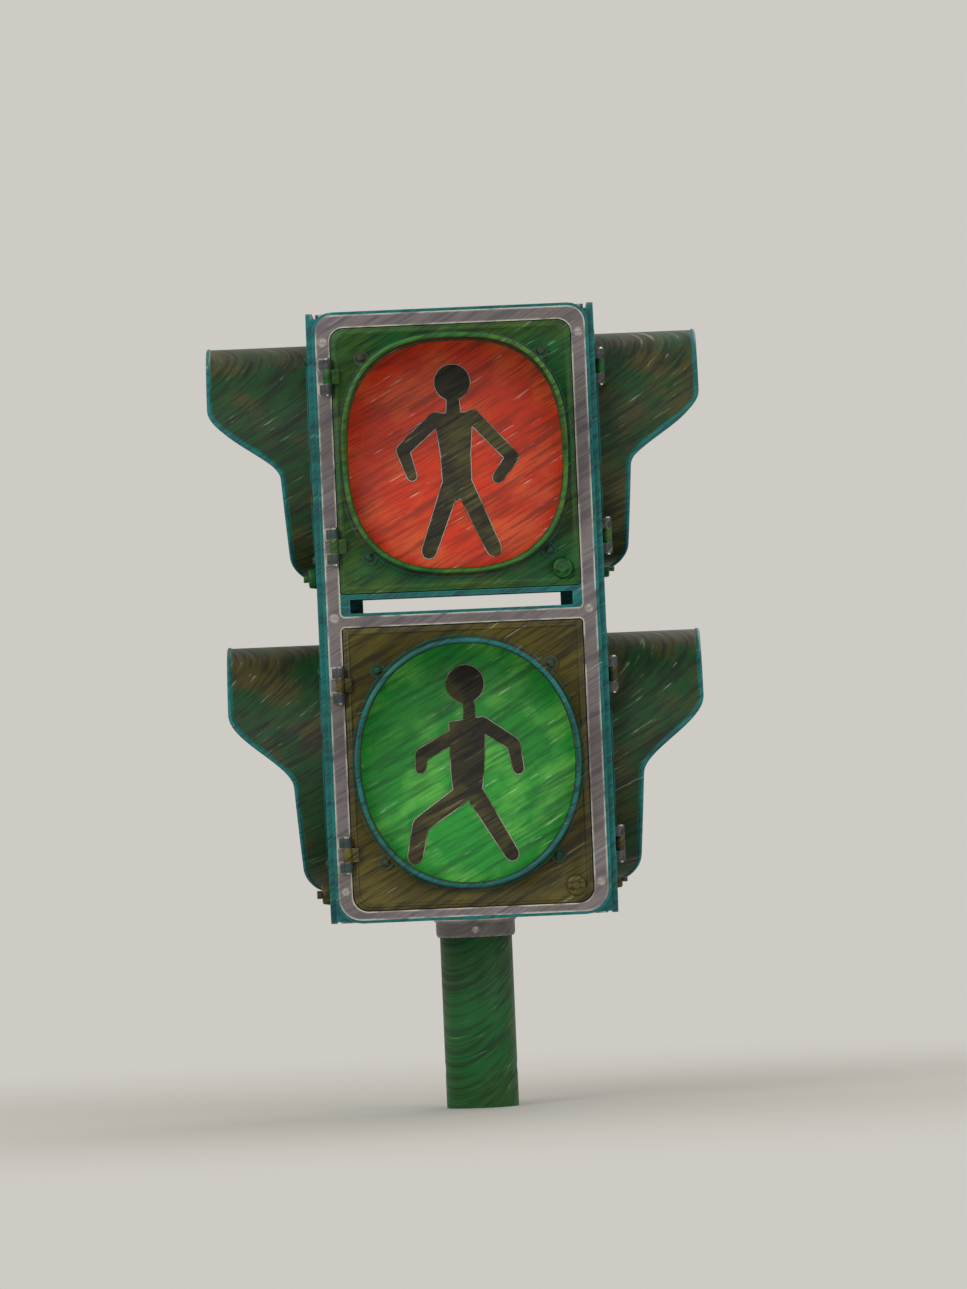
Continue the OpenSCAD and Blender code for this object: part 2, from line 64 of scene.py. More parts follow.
FLOOR_R = 3.4
FADE_START, FADE_END = 0.25, 1.6
bpy.ops.mesh.primitive_circle_add(vertices=96, radius=FLOOR_R, fill_type="NGON")
floor = bpy.context.object
floor.name = "studio_floor"
floor_paint = bpy.data.materials.new("studio_floor_paint")
floor_paint.use_nodes = True
floor.data.materials.append(floor_paint)
tree = floor_paint.node_tree
shader = tree.nodes["Principled BSDF"]
shader.inputs["Base Color"].default_value = ROOM
shader.inputs["Roughness"].default_value = 0.9
place = tree.nodes.new("ShaderNodeTexCoord")
reach = tree.nodes.new("ShaderNodeVectorMath")
reach.operation = "LENGTH"
fade = tree.nodes.new("ShaderNodeMapRange")
fade.interpolation_type = "SMOOTHSTEP"
fade.inputs["From Min"].default_value = FADE_START
fade.inputs["From Max"].default_value = FADE_END
glow = tree.nodes.new("ShaderNodeEmission")
glow.inputs["Color"].default_value = ROOM
blend = tree.nodes.new("ShaderNodeMixShader")
tree.links.new(place.outputs["Object"], reach.inputs[0])
tree.links.new(reach.outputs["Value"], fade.inputs["Value"])
tree.links.new(fade.outputs["Result"], blend.inputs["Fac"])
tree.links.new(shader.outputs["BSDF"], blend.inputs[1])
tree.links.new(glow.outputs["Emission"], blend.inputs[2])
tree.links.new(blend.outputs["Shader"], tree.nodes["Material Output"].inputs["Surface"])


LIT_MIDDLE = Vector((0, 0, 0.45))


def soft_lamp(name, place, size, watts):
    """A round lamp aimed at the head."""
    bpy.ops.object.light_add(type="AREA", location=place)
    lamp = bpy.context.object
    lamp.name = name
    lamp.data.shape = "DISK"
    lamp.data.size = size
    lamp.data.energy = watts
    lamp.rotation_euler = (LIT_MIDDLE - lamp.location).to_track_quat("-Z", "Y").to_euler()


soft_lamp("key_lamp", (-1.6, -2.6, 1.9), 1.6, 34)
soft_lamp("fill_lamp", (2.2, -2.0, 1.0), 1.8, 12)
soft_lamp("back_lamp", (1.2, 2.4, 2.2), 1.6, 16)

case_low, case_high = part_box("upper_chamber")
FACE = -case_low.y  # the three faces stand this far from the post's axis
VIEW_ACROSS, VIEW_UP = 0.0203, 0.4677
VIEW_HEIGHT = 1.289
VIEW_FROM = 11.0
VIEW_LEAN = 2.45
SENSOR = 36
bpy.ops.object.camera_add(location=(VIEW_ACROSS, -FACE - VIEW_FROM, VIEW_UP))
camera = bpy.context.object
camera.rotation_euler = (math.radians(90), math.radians(VIEW_LEAN), 0)
camera.data.sensor_width = SENSOR
camera.data.lens = SENSOR * VIEW_FROM / VIEW_HEIGHT
camera.data.clip_end = 60
bpy.context.scene.camera = camera


# ---------------------------------------------------------------- post
# The steel pipe that carries the head, sawn off square and drilled near its foot for the bolt that
# pins it to the pole below. It is brushed with dark green enamel, rubbed teal round its ends.
def alone(piece):
    """Leaves everything but this piece unselected, ready for an operator."""
    bpy.ops.object.select_all(action="DESELECT")
    piece.select_set(True)
    bpy.context.view_layer.objects.active = piece


def placed(piece):
    """Puts a piece's place, turn and size into its mesh."""
    alone(piece)
    bpy.ops.object.transform_apply(location=True, rotation=True, scale=True)
    return piece


def ride_as(piece, name, body, slot, *nodes):
    """A finished piece gets its name and body, and stands for its nodes. slot is not used."""
    placed(piece)
    piece.name = name
    piece.data.name = name
    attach(piece, body)
    if nodes:
        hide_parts(*nodes)


def applied(piece, kind, **settings):
    """Adds a modifier and applies it."""
    alone(piece)
    modifier = piece.modifiers.new(kind.lower(), kind)
    for key, value in settings.items():
        setattr(modifier, key, value)
    bpy.ops.object.modifier_apply(modifier=modifier.name)


def carve(piece, tool, operation="DIFFERENCE"):
    """Cuts a piece with another, or welds the other on, and uses the other up."""
    applied(piece, "BOOLEAN", object=tool, operation=operation, solver="EXACT")
    bpy.data.objects.remove(tool)


SAME_POINT = 0.004 * MM  # corners closer than this after rounding are one corner


def eased(piece, width, segments=2):
    """Breaks the sharp edges of a casting or a turned part and shades it."""
    applied(piece, "BEVEL", width=width, segments=segments, limit_method="ANGLE",
            angle_limit=math.radians(40))
    bpy.ops.object.mode_set(mode="EDIT")
    bpy.ops.mesh.select_all(action="SELECT")
    bpy.ops.mesh.remove_doubles(threshold=SAME_POINT)
    bpy.ops.object.mode_set(mode="OBJECT")
    bpy.ops.object.shade_smooth_by_angle(angle=math.radians(38))


def drum(radius, low, high, axis="Z", at=(0, 0), sides=64, end_radius=None):
    """A round bar along an axis. at is its place across the axis: x, y for Z, and x, z for Y."""
    turn = {"Z": (0, 0, 0), "Y": (math.pi / 2, 0, 0), "X": (0, math.pi / 2, 0)}[axis]
    middle = (low + high) / 2
    place = {"Z": (*at, middle), "Y": (at[0], middle, at[1]), "X": (middle, *at)}[axis]
    tip = radius if end_radius is None else end_radius
    bpy.ops.mesh.primitive_cone_add(
        vertices=sides, radius1=radius, radius2=tip, depth=high - low, location=place, rotation=turn)
    return placed(bpy.context.object)


def blank_finish(name):
    """A new finish, with its links and its shader."""
    finish = bpy.data.materials.new(name)
    finish.use_nodes = True
    return finish, finish.node_tree.links, finish.node_tree.nodes["Principled BSDF"]


def finish_node(paint, kind, **settings):
    """A new node of a finish, with its settings."""
    made = paint.node_tree.nodes.new(kind)
    for key, value in settings.items():
        setattr(made, key, value)
    return made


def stretched(paint, value, low, high, to_low, to_high):
    """Maps low to high onto to_low to to_high, and holds it there."""
    spread = finish_node(paint, "ShaderNodeMapRange")
    spread.inputs["From Min"].default_value = low
    spread.inputs["From Max"].default_value = high
    spread.inputs["To Min"].default_value = to_low
    spread.inputs["To Max"].default_value = to_high
    paint.node_tree.links.new(value, spread.inputs["Value"])
    return spread.outputs["Result"]


def embossed(paint, pattern, strength, depth):
    """Raises the surface of a finish by a pattern."""
    bump = finish_node(paint, "ShaderNodeBump")
    bump.inputs["Strength"].default_value = strength
    bump.inputs["Distance"].default_value = depth
    links = paint.node_tree.links
    links.new(pattern, bump.inputs["Height"])
    links.new(bump.outputs["Normal"], paint.node_tree.nodes["Principled BSDF"].inputs["Normal"])


STROKE_SLANT = math.radians(38)
ACROSS_CORNERS = math.radians(45)  # the strokes lie between two faces, so both show them


def brush_strokes(paint, length, width):
    """Streaks left by a brush drawn upwards at a slant over any upright face, from 0 to 1."""
    links = paint.node_tree.links
    place = finish_node(paint, "ShaderNodeTexCoord")
    slant = finish_node(paint, "ShaderNodeMapping", vector_type="TEXTURE")
    slant.inputs["Rotation"].default_value = (0, -STROKE_SLANT, ACROSS_CORNERS)
    slant.inputs["Scale"].default_value = (length, 1, width)
    streaks = finish_node(paint, "ShaderNodeTexNoise")
    streaks.inputs["Scale"].default_value = 1
    streaks.inputs["Detail"].default_value = 3
    streaks.inputs["Roughness"].default_value = 0.65
    links.new(place.outputs["Object"], slant.inputs["Vector"])
    links.new(slant.outputs["Vector"], streaks.inputs["Vector"])
    return streaks.outputs["Fac"]


def blotches(paint, size, low, high, most):
    """Soft irregular patches of about this size, from 0 to most."""
    place = finish_node(paint, "ShaderNodeTexCoord")
    cloud = finish_node(paint, "ShaderNodeTexNoise")
    cloud.inputs["Scale"].default_value = 1 / size
    cloud.inputs["Detail"].default_value = 4
    paint.node_tree.links.new(place.outputs["Object"], cloud.inputs["Vector"])
    return stretched(paint, cloud.outputs["Fac"], low, high, 0, most)


def over(paint, share, under, top):
    """Lays a colour over what is under it, by a share."""
    mix = finish_node(paint, "ShaderNodeMix", data_type="RGBA")
    links = paint.node_tree.links
    links.new(share, mix.inputs["Factor"])
    for socket, colour in ((mix.inputs["A"], under), (mix.inputs["B"], top)):
        if isinstance(colour, tuple):
            socket.default_value = colour
        else:
            links.new(colour, socket)
    return mix.outputs["Result"]


def times(paint, one, other):
    """Multiplies two shares."""
    product = finish_node(paint, "ShaderNodeMath", operation="MULTIPLY")
    links = paint.node_tree.links
    links.new(one, product.inputs[0])
    links.new(other, product.inputs[1])
    return product.outputs["Value"]


def rubbed_and_highlit_edges(paint, width):
    """1 on edges and corners, and 0 on flats. It carries worn paint on most finishes, and painted highlights
    where the edge colour is a pale one.
    """
    links = paint.node_tree.links
    rounded = finish_node(paint, "ShaderNodeBevel", samples=6)
    rounded.inputs["Radius"].default_value = width
    surface = finish_node(paint, "ShaderNodeNewGeometry")
    level = finish_node(paint, "ShaderNodeVectorMath", operation="DOT_PRODUCT")
    links.new(rounded.outputs["Normal"], level.inputs[0])
    links.new(surface.outputs["Normal"], level.inputs[1])
    return stretched(paint, level.outputs["Value"], 0.99, 0.86, 0, 1)


def brushed_enamel(name, coat, shade, worn, edge, worn_share, edge_share=0.8, edge_width=2.2 * MM):
    """Oil enamel brushed on at a slant: darker between strokes, worn in patches, its edges in the edge
    colour, which is worn paint on most finishes and a painted highlight on the grey, the figure masks' and
    the red doors' enamel.
    """
    paint, links, shader = blank_finish(name)
    broad = brush_strokes(paint, length=60 * MM, width=6.8 * MM)
    fine = brush_strokes(paint, length=42 * MM, width=2.1 * MM)
    patches = blotches(paint, 70 * MM, 0.45, 0.58, worn_share)
    chips_and_glints = blotches(paint, 22 * MM, 0.34, 0.54, edge_share)
    colour = over(paint, patches, coat, worn)
    colour = over(paint, stretched(paint, broad, 0.48, 0.62, 0, 0.75), colour, shade)
    colour = over(paint, stretched(paint, fine, 0.50, 0.64, 0, 0.75), colour, shade)
    colour = over(paint, stretched(paint, fine, 0.345, 0.30, 0, 0.45), colour, PALE_PRIMER)
    # the edge colour laid on the edges: rubbed paint on most finishes, a painted highlight where it is pale
    colour = over(paint, times(paint, rubbed_and_highlit_edges(paint, edge_width), chips_and_glints), colour, edge)
    links.new(colour, shader.inputs["Base Color"])
    links.new(stretched(paint, fine, 0.3, 0.7, 0.42, 0.66), shader.inputs["Roughness"])
    embossed(paint, fine, strength=0.45, depth=0.4 * MM)
    shader.inputs["Specular IOR Level"].default_value = 0.35
    shader.inputs["Coat Weight"].default_value = 0.08
    shader.inputs["Coat Roughness"].default_value = 0.3
    return paint


PALE_PRIMER = chart(176, 188, 160)
DEEP_GREEN = chart(0, 94, 34)
BOTTLE = chart(6, 44, 18)
TEAL = chart(0, 112, 112)

POST_WALL = 3.6 * MM
POST_SIDES = 128
BOLT_R = 5.5 * MM
BOLT_LEVEL = 40 * MM
PAST = 10 * MM  # how far a cutting tool reaches past what it cuts
foot, post_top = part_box("post")
post_enamel = brushed_enamel("post_enamel", DEEP_GREEN, BOTTLE, chart(52, 82, 28), TEAL, worn_share=0.5)
tube = drum(post_top.x, foot.z, post_top.z, sides=POST_SIDES)
carve(tube, drum(post_top.x - POST_WALL, foot.z - PAST, post_top.z + PAST, sides=POST_SIDES))
carve(tube, drum(BOLT_R, foot.x - PAST, post_top.x + PAST, axis="X", at=(0, BOLT_LEVEL)))
eased(tube, 0.5 * MM)
tube.data.materials.append(post_enamel)
ride_as(tube, "post_tube", "post", "post_paint", "post")


# ---------------------------------------------------------------- collar and hub
# A grey cast collar that slips over the post's top and is held by three set screws. A galvanised
# nipple comes up through it, and a washer and a big lock nut inside the case clamp the head to it.
WELDED = 0.01 * MM  # corners closer than this belong together


def turned(profile, sides=96):
    """A part turned in a lathe. profile is its half section, as radius and height along Z."""
    bpy.ops.mesh.primitive_plane_add(size=0.001)
    part = bpy.context.object
    bpy.ops.object.mode_set(mode="EDIT")
    bpy.ops.mesh.select_mode(type="VERT")
    bpy.ops.mesh.select_all(action="SELECT")
    bpy.ops.mesh.merge(type="CENTER")
    start = profile[0]
    bpy.ops.transform.translate(value=(start[0], 0, start[1]))
    for before, after in zip(profile, profile[1:] + [start]):
        step = (after[0] - before[0], 0, after[1] - before[1])
        bpy.ops.mesh.extrude_region_move(TRANSFORM_OT_translate={"value": step})
    bpy.ops.mesh.select_all(action="SELECT")
    bpy.ops.mesh.spin(steps=sides, angle=math.tau, center=(0, 0, 0), axis=(0, 0, 1))
    bpy.ops.mesh.select_all(action="SELECT")
    bpy.ops.mesh.remove_doubles(threshold=WELDED)
    bpy.ops.mesh.select_all(action="SELECT")
    bpy.ops.mesh.normals_make_consistent(inside=False)
    bpy.ops.object.mode_set(mode="OBJECT")
    return placed(part)


ASH_GREY = chart(126, 118, 120)
SLATE = chart(92, 84, 92)
CHALK = chart(226, 222, 208)
# The chalk edges of the grey enamel are a painted highlight along the frames' and the collar's edges.
grey_enamel = brushed_enamel(
    "grey_enamel", ASH_GREY, SLATE, chart(112, 106, 100), CHALK, worn_share=0.7, edge_share=1.0,
    edge_width=3.6 * MM)

COLLAR_RIM = 3 * MM
COLLAR_FOOT_STEP = 4.5 * MM
NIPPLE_R = 24 * MM
SET_SCREW_ANGLES = (30, 150, 270)
SET_SCREW_HOLE_R = 3.2 * MM
collar_low, collar_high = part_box("mounting_collar")
collar_r = collar_high.x
neck = post_top.x + 0.05 * MM
collar = turned([
    (neck, collar_low.z), (collar_r - COLLAR_FOOT_STEP, collar_low.z),
    (collar_r - COLLAR_RIM, collar_low.z + COLLAR_RIM), (collar_r - COLLAR_RIM, collar_high.z - COLLAR_RIM),
    (collar_r, collar_high.z), (NIPPLE_R, collar_high.z), (NIPPLE_R, post_top.z), (neck, post_top.z)])
screw_low, screw_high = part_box("collar_set_screws")
for angle in SET_SCREW_ANGLES:
    hole = drum(SET_SCREW_HOLE_R, post_top.x - 2 * MM, collar_r + 5 * MM, axis="X",
                at=(0, (screw_low.z + screw_high.z) / 2), sides=32)
    hole.data.transform(Matrix.Rotation(math.radians(angle), 4, "Z"))
    carve(collar, hole)
eased(collar, 0.8 * MM)
collar.data.materials.append(grey_enamel)
ride_as(collar, "collar_casting", "post", "collar_paint", "mounting_collar")


def bare_metal(name, light, dark, rough, grain):
    """Bare or plated metal: a mottled, finely grained surface of no paint."""
    metal, links, shader = blank_finish(name)
    shader.inputs["Metallic"].default_value = 1.0
    mottle = blotches(metal, grain, 0.35, 0.65, 1.0)
    links.new(over(metal, mottle, light, dark), shader.inputs["Base Color"])
    links.new(stretched(metal, mottle, 0, 1, rough, rough + 0.18), shader.inputs["Roughness"])
    embossed(metal, mottle, strength=0.2, depth=0.3 * MM)
    return metal


zinc = bare_metal("spangled_zinc", chart(190, 194, 196), chart(128, 134, 140), rough=0.34, grain=8 * MM)
stainless = bare_metal(
    "stainless_steel", chart(200, 198, 192), chart(150, 148, 144), rough=0.24, grain=3 * MM)


def dressed(node, finish):
    """A node keeps the shape it has in the design and gets its real finish."""
    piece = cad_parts[node]
    piece.material_slots[0].material = finish
    return piece


for node in ("hub_nipple", "lock_washer", "lock_nut"):
    dressed(node, zinc)
dressed("collar_set_screws", stainless)


# ---------------------------------------------------------------- chambers
# Two cast boxes, one over the other, that hold the lamps. They are sand cast in aluminium with an
# open slot left between them, and enamelled teal: their edges are the teal lines round the head.
case_enamel = brushed_enamel(
    "case_enamel", TEAL, chart(4, 62, 74), chart(14, 92, 74), chart(40, 140, 134), worn_share=0.5,
    edge_share=0.6)
for node in ("upper_chamber", "lower_chamber"):
    casting = dressed(node, case_enamel)
    weld = casting.modifiers.new("joined_faces", "WELD")
    weld.merge_threshold = WELDED
    round_off = casting.modifiers.new("cast_edges", "BEVEL")
    round_off.width = 0.9 * MM
    round_off.segments = 2
    round_off.limit_method = "ANGLE"
    round_off.angle_limit = math.radians(50)


# ---------------------------------------------------------------- tie rods and roof plug
# Four galvanised rods run up the corners of both chambers and draw them together. A cast plug with
# a square for a spanner shuts the hole in the roof, where a second head could be stacked.
dressed("tie_rods", zinc)
SPANNER_SQUARE = 14 * MM
PLUG_CROWN = 3.2 * MM
STEM_R = 19.9 * MM
LOCK_RING_R = 23 * MM
LOCK_RING_TOP, STEM_FOOT = 5.1 * MM, 11 * MM
plug_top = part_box("top_plug")[1]
plug_r = plug_top.x
roof_z = plug_top.z - 4 * MM
plug = turned([
    (0, roof_z), (plug_r, roof_z), (plug_r, roof_z + 1.5 * MM), (plug_r - 2 * MM, roof_z + 3 * MM),
    (10 * MM, roof_z + PLUG_CROWN), (0, roof_z + PLUG_CROWN)])
bpy.ops.mesh.primitive_cube_add(size=1, location=(0, 0, roof_z + 3.5 * MM),
                                scale=(SPANNER_SQUARE, SPANNER_SQUARE, 5 * MM))
carve(plug, placed(bpy.context.object), "UNION")
stem = turned([
    (0, roof_z - STEM_FOOT), (LOCK_RING_R, roof_z - STEM_FOOT), (LOCK_RING_R, roof_z - LOCK_RING_TOP),
    (STEM_R, roof_z - LOCK_RING_TOP), (STEM_R, roof_z + 0.5 * MM), (0, roof_z + 0.5 * MM)])
carve(plug, stem, "UNION")
eased(plug, 0.5 * MM)
plug.data.materials.append(case_enamel)
ride_as(plug, "roof_plug", "head", "case_paint", "top_plug")


# ---------------------------------------------------------------- face frames
# A flat grey casting lies round the two doors of each face and carries the fixed knuckles of their
# hinges on its left rail. Six countersunk screws hold it in a seat cut into both chambers.
def pick_edges(piece, wanted):
    """In edit mode, selects the edges that pass a test."""
    bpy.ops.mesh.select_mode(type="EDGE")
    bpy.ops.mesh.select_all(action="DESELECT")
    shape = bmesh.from_edit_mesh(piece.data)
    for edge in shape.edges:
        edge.select_set(wanted(edge))
    bmesh.update_edit_mesh(piece.data)


def together(pieces):
    """Joins pieces into the first of them."""
    alone(pieces[0])
    for piece in pieces:
        piece.select_set(True)
    bpy.ops.object.join()
    return pieces[0]


def plate(left, right, low, high, back, front, top_round=0.0, bottom_round=0.0):
    """A plate in front of the axis, back to front along -Y, its corners rounded as seen from there."""
    bpy.ops.mesh.primitive_cube_add(
        size=1, location=((left + right) / 2, -(back + front) / 2, (low + high) / 2),
        scale=(right - left, front - back, high - low))
    made = placed(bpy.context.object)
    bpy.ops.object.mode_set(mode="EDIT")
    for rounding, level in ((top_round, high), (bottom_round, low)):
        if rounding:
            pick_edges(made, lambda edge: all(abs(v.co.z - level) < WELDED for v in edge.verts)
                       and abs(edge.verts[0].co.x - edge.verts[1].co.x) < WELDED)
            bpy.ops.mesh.bevel(offset=rounding, segments=10, affect="EDGES")
    bpy.ops.object.mode_set(mode="OBJECT")
    return made


SIDE_TURNS = {"left": math.radians(-90), "right": math.radians(90)}


def on_each_face(front_piece):
    """The front face's piece and its copies on the left and right faces, with the faces' names."""
    made = [("front", front_piece)]
    for face, turn in SIDE_TURNS.items():
        alone(front_piece)
        bpy.ops.object.duplicate(linked=False)
        copy = bpy.context.object
        copy.data.transform(Matrix.Rotation(turn, 4, "Z"))
        made.append((face, copy))
    return made


FRAME_T = 3.5 * MM
FRAME_ROUND = (17 * MM, 23 * MM)
WINDOW_ROUND = {"red": (14 * MM, 4 * MM), "green": (4 * MM, 16 * MM)}
SLOT_SILL = 10 * MM
DOOR_GAP = 1 * MM
HINGE_R = 4.5 * MM
PIN_R = 2.5 * MM
HINGE_RISE = 85 * MM
KNUCKLE = 14 * MM
SIDE_KNUCKLE = 10 * MM
KNUCKLE_PLAY = 0.4 * MM
LUG_REACH = 8.5 * MM
frame_low, frame_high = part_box("front_frame")
frame_half = frame_high.x
door_boxes = {"red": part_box("red_front_door"), "green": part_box("green_front_door")}
window_half = door_boxes["red"][1].x + DOOR_GAP
hinge_u = door_boxes["red"][0].x + HINGE_R
hinge_d = -frame_low.y - HINGE_R


def hinge_heights(section):
    """The middles of a door's lower and upper hinge."""
    low, high = door_boxes[section]
    return [(low.z + high.z) / 2 + side * HINGE_RISE for side in (-1, 1)]


face_frame = plate(-frame_half, frame_half, frame_low.z, frame_high.z, FACE - FRAME_T, FACE, *FRAME_ROUND)
for section, (low, high) in door_boxes.items():
    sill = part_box("lower_chamber")[1].z - SLOT_SILL if section == "red" else low.z - DOOR_GAP
    carve(face_frame, plate(-window_half, window_half, sill, high.z + DOOR_GAP, FACE - 2 * PAST,
                            FACE + 2 * PAST, *WINDOW_ROUND[section]))
SCREW_HOLE_R = 2.2 * MM
SINK_R, SINK_MOUTH_R, SINK_DEPTH = 1.9 * MM, 4.2 * MM, 2.3 * MM
SCREW_LEVELS = (case_low.z - 285 * MM, case_low.z - 11 * MM, case_high.z - 30 * MM)
screw_u = (window_half + frame_half) / 2
for side in (-1, 1):
    for level in SCREW_LEVELS:
        spot = (side * screw_u, level)
        carve(face_frame, drum(SCREW_HOLE_R, -FACE - PAST, -FACE + PAST, axis="Y", at=spot, sides=32))
        carve(face_frame, drum(SINK_R, -FACE - 0.1 * MM, -FACE + SINK_DEPTH, axis="Y", at=spot, sides=32,
                               end_radius=SINK_MOUTH_R))
eased(face_frame, 0.7 * MM)
face_frame.data.materials.append(grey_enamel)
knuckle_enamel = brushed_enamel(
    "knuckle_enamel", chart(70, 72, 74), chart(40, 42, 46), chart(30, 66, 62), chart(120, 122, 118),
    worn_share=0.7, edge_share=0.6)
for section in door_boxes:
    for height in hinge_heights(section):
        for side in (-1, 1):
            middle = height + side * (KNUCKLE / 2 + KNUCKLE_PLAY + SIDE_KNUCKLE / 2)
            low, high = middle - SIDE_KNUCKLE / 2, middle + SIDE_KNUCKLE / 2
            lug = plate(hinge_u - LUG_REACH, hinge_u, low, high, FACE - 0.2 * MM, hinge_d)
            carve(lug, drum(HINGE_R, low, high, at=(hinge_u, -hinge_d), sides=40), "UNION")
            carve(lug, drum(PIN_R, low - PAST, high + PAST, at=(hinge_u, -hinge_d), sides=32))
            eased(lug, 0.5 * MM)
            lug.data.materials.append(knuckle_enamel)
            together([face_frame, lug])
for face, casting in on_each_face(face_frame):
    ride_as(casting, face + "_frame_casting", "head", "frame_paint", face + "_frame")
dressed("hinge_pins", stainless)


# ---------------------------------------------------------------- doors
# Every lens has its own cast door. It hangs on two stainless pins at its left and shuts on a rubber
# seal. The doors of the red lenses are enamelled green, the doors of the green ones olive brown.
DOOR_T = 9.5 * MM
door_front = FACE - 1 * MM
door_back = door_front - DOOR_T
FLANGE_OUT = 2.8 * MM
SQUARENESS = {"red": 2.6, "green": 2.1}
REBATE_OUT, REBATE_DEPTH = 4.5 * MM, 6.5 * MM
BEAD_OUTER, BEAD_INNER, BEAD_RISE = 3 * MM, 6 * MM, 0.9 * MM
LATCH_IN, LATCH_UP = 17.5 * MM, 17 * MM
SPINDLE_HOLE_R = 4.05 * MM
ARM_REACH = 11 * MM
LENS_SIDES = 144
lens_boxes = {section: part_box(section + "_front_lens") for section in door_boxes}


def lens_middle(section):
    """The height of a lens's middle."""
    low, high = lens_boxes[section]
    return (low.z + high.z) / 2


def lens_reach(section, grown, angle):
    """How far a lens's outline, grown all round, lies from its middle in one direction."""
    low, high = lens_boxes[section]
    across = high.x - FLANGE_OUT + grown
    upward = (high.z - low.z) / 2 - FLANGE_OUT + grown
    power = SQUARENESS[section]
    return (abs(math.cos(angle) / across) ** power + abs(math.sin(angle) / upward) ** power) ** (-1 / power)


def on_lens_outline(piece, section, grown):
    """Draws a piece that is round about the Y axis, one metre in radius, out to a lens's outline."""
    for corner in piece.data.vertices:
        angle = math.atan2(corner.co.z, corner.co.x)
        share = math.hypot(corner.co.x, corner.co.z) * lens_reach(section, grown, angle)
        corner.co.x = share * math.cos(angle)
        corner.co.z = lens_middle(section) + share * math.sin(angle)
    return piece


def lens_bar(section, grown, back, front):
    """A bar with the outline of a lens, grown all round, from back to front."""
    return on_lens_outline(drum(1, -front, -back, axis="Y", sides=LENS_SIDES), section, grown)


def latch_place(section):
    """Where a door's latch turns: across and up."""
    low, high = door_boxes[section]
    return high.x - LATCH_IN, low.z + LATCH_UP


def door_casting(section):
    """A door with its bead, its lens opening and rebate, its latch hole and its two hinge knuckles."""
    low, high = door_boxes[section]
    half = high.x
    rounds = [rounding - DOOR_GAP for rounding in WINDOW_ROUND[section]]
    door = plate(-half, half, low.z, high.z, door_back, door_front, *rounds)
    bead = plate(-half + BEAD_OUTER, half - BEAD_OUTER, low.z + BEAD_OUTER, high.z - BEAD_OUTER,
                 door_front - 0.5 * MM, door_front + BEAD_RISE, *rounds)
    carve(bead, plate(-half + BEAD_INNER, half - BEAD_INNER, low.z + BEAD_INNER, high.z - BEAD_INNER,
                      door_front - 1 * MM, door_front + 2 * MM, *[r - 1 * MM for r in rounds]))
    carve(door, bead, "UNION")
    carve(door, lens_bar(section, 0, door_back - 1 * MM, door_front + 1 * MM))
    carve(door, lens_bar(section, REBATE_OUT, door_back - 1 * MM, door_back + REBATE_DEPTH))
    carve(door, drum(SPINDLE_HOLE_R, -FACE, -door_back + 1 * MM, axis="Y", at=latch_place(section), sides=32))
    eased(door, 0.6 * MM)
    for height in hinge_heights(section):
        low_end, high_end = height - KNUCKLE / 2, height + KNUCKLE / 2
        arm = drum(HINGE_R, low_end, high_end, at=(hinge_u, -hinge_d), sides=40)
        inner = hinge_u + ARM_REACH
        rest = door_front - 0.5 * MM
        arm_front = hinge_d + 1 * MM
        carve(arm, plate(hinge_u, inner, low_end, high_end, FACE + 0.6 * MM, arm_front), "UNION")
        carve(arm, plate(-half + 0.5 * MM, inner, low_end, high_end, rest, arm_front), "UNION")
        carve(arm, drum(PIN_R + 0.05 * MM, low_end - PAST, high_end + PAST, at=(hinge_u, -hinge_d), sides=32))
        eased(arm, 0.5 * MM)
        together([door, arm])
    return door


MOSS = chart(92, 118, 30)
# The moss edges of the red doors' enamel are a painted highlight. This enamel also covers the red latches and
# the upper rear cover.
door_enamel = {
    "red": brushed_enamel("red_door_enamel", DEEP_GREEN, chart(4, 46, 20), chart(66, 92, 22), MOSS,
                          worn_share=0.7, edge_share=0.7),
    "green": brushed_enamel("green_door_enamel", chart(80, 72, 20), chart(32, 28, 14), chart(104, 94, 28),
                            chart(24, 22, 14), worn_share=0.6),
}
for section in door_boxes:
    casting = door_casting(section)
    casting.data.materials.append(door_enamel[section])
    for face, door in on_each_face(casting):
        name = section + "_" + face + "_door"
        ride_as(door, name + "_casting", name, section + "_door_paint", name)

rubber, links, shader = blank_finish("seal_rubber_black")
bloom = blotches(rubber, 12 * MM, 0.42, 0.66, 1.0)
links.new(over(rubber, bloom, chart(24, 24, 26), chart(52, 52, 54)), shader.inputs["Base Color"])
links.new(stretched(rubber, bloom, 0, 1, 0.55, 0.8), shader.inputs["Roughness"])
dressed("door_seals", rubber)


# ---------------------------------------------------------------- lenses and figures
# A shallow moulded dome in each door, with prisms on its back and its rim held in a rubber channel.
# The standing and the walking figure are thin black masks, fixed to the front of the dome.
DOME_R = 1.1
DOME_RINGS = 26
DOME_PROUD = 3 * MM
LENS_T = 3 * MM
dome_front = door_front + DOME_PROUD
flange_back = door_back + 2 * MM


